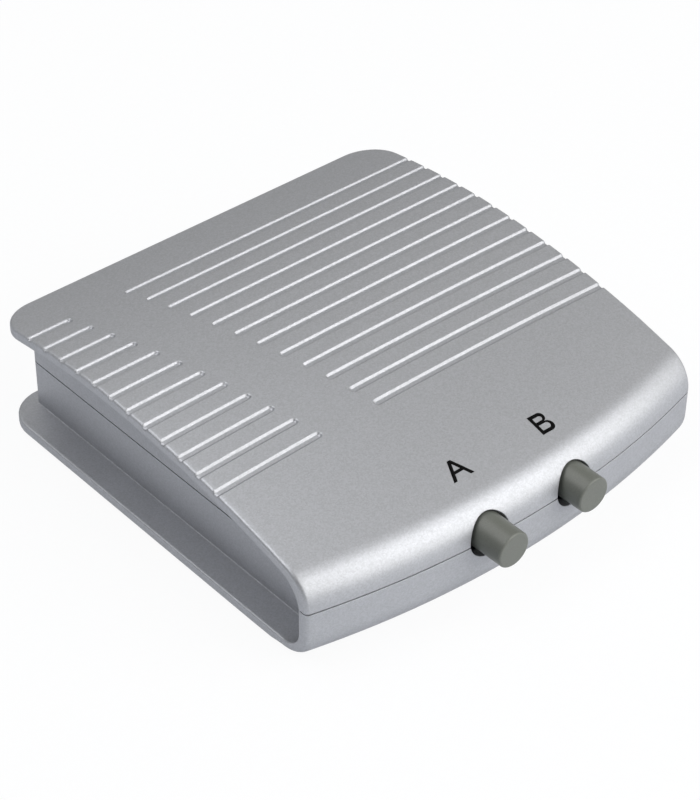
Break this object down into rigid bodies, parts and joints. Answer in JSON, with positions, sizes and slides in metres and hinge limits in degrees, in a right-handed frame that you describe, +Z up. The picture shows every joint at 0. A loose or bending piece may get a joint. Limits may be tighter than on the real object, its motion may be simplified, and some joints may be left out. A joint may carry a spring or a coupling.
{
  "type": "hdmi switch",
  "caption": "Low silver selector box with a bowed front, grooved top, recessed sides, linked round push buttons and sockets in the rear wall.",
  "frame": {"origin": "middle of the footprint, buttons included, on the surface that the feet stand on", "axes": "+Z up, +Y to the rear wall with the sockets, +X to the right seen from the front"},
  "size_m": [0.11, 0.119, 0.0319],
  "materials": {
    "silver_paint": "satin silver paint",
    "button_grey": "matt",
    "ivory_plastic": "matt",
    "dark_plastic": "matt",
    "brass": "bare",
    "gilt": "gold flash",
    "sheet_steel": "zinc",
    "spring_steel": "bright",
    "board_green": "solder mask",
    "tinned_steel": "tinned",
    "black_plastic": "matt",
    "screw_steel": "zinc",
    "black_rubber": "matt"
  },
  "bodies": {
    "case": {"top_shell": "silver_paint", "bottom_shell": "silver_paint", "switch_body_a": "dark_plastic", "switch_body_b": "dark_plastic", "switch_pins_a": "brass", "switch_pins_b": "brass", "input_contacts_a": "gilt", "input_contacts_b": "gilt", "output_contacts": "gilt", "switch_frame": "sheet_steel", "rocker_pin": "sheet_steel", "detent_spring": "spring_steel", "circuit_board": "board_green", "input_port_a": "tinned_steel", "input_port_b": "tinned_steel", "output_port": "tinned_steel", "input_tongue_a": "black_plastic", "input_tongue_b": "black_plastic", "output_tongue": "black_plastic", "case_screws": "screw_steel", "board_screws": "screw_steel", "rubber_feet": "black_rubber"},
    "selector_a": {"button_a": "button_grey", "plunger_a": "ivory_plastic", "contact_clips_a": "brass"},
    "selector_b": {"button_b": "button_grey", "plunger_b": "ivory_plastic", "contact_clips_b": "brass"},
    "rocker": {"rocker": "ivory_plastic"}
  },
  "joints": [
    {"name": "button_a_slide", "type": "slide", "parent": "case", "child": "selector_a", "axis": [0, 1, 0], "range_m": [0, 0.0015]},
    {"name": "button_b_slide", "type": "slide", "parent": "case", "child": "selector_b", "axis": [0, 1, 0], "range_m": [-0.0015, 0]},
    {"name": "rocker_swing", "type": "hinge", "parent": "case", "child": "rocker", "pos_m": [0.0008, -0.00005, 0.0161], "axis": [0, 0, -1], "range_deg": [0, 7.05], "deforming": ["detent_spring"]}
  ],
  "couplings": [
    {"joint": "button_b_slide", "follows": "button_a_slide", "ratio": -1},
    {"joint": "rocker_swing", "follows": "button_a_slide", "rad_per_m": 82.019}
  ]
}
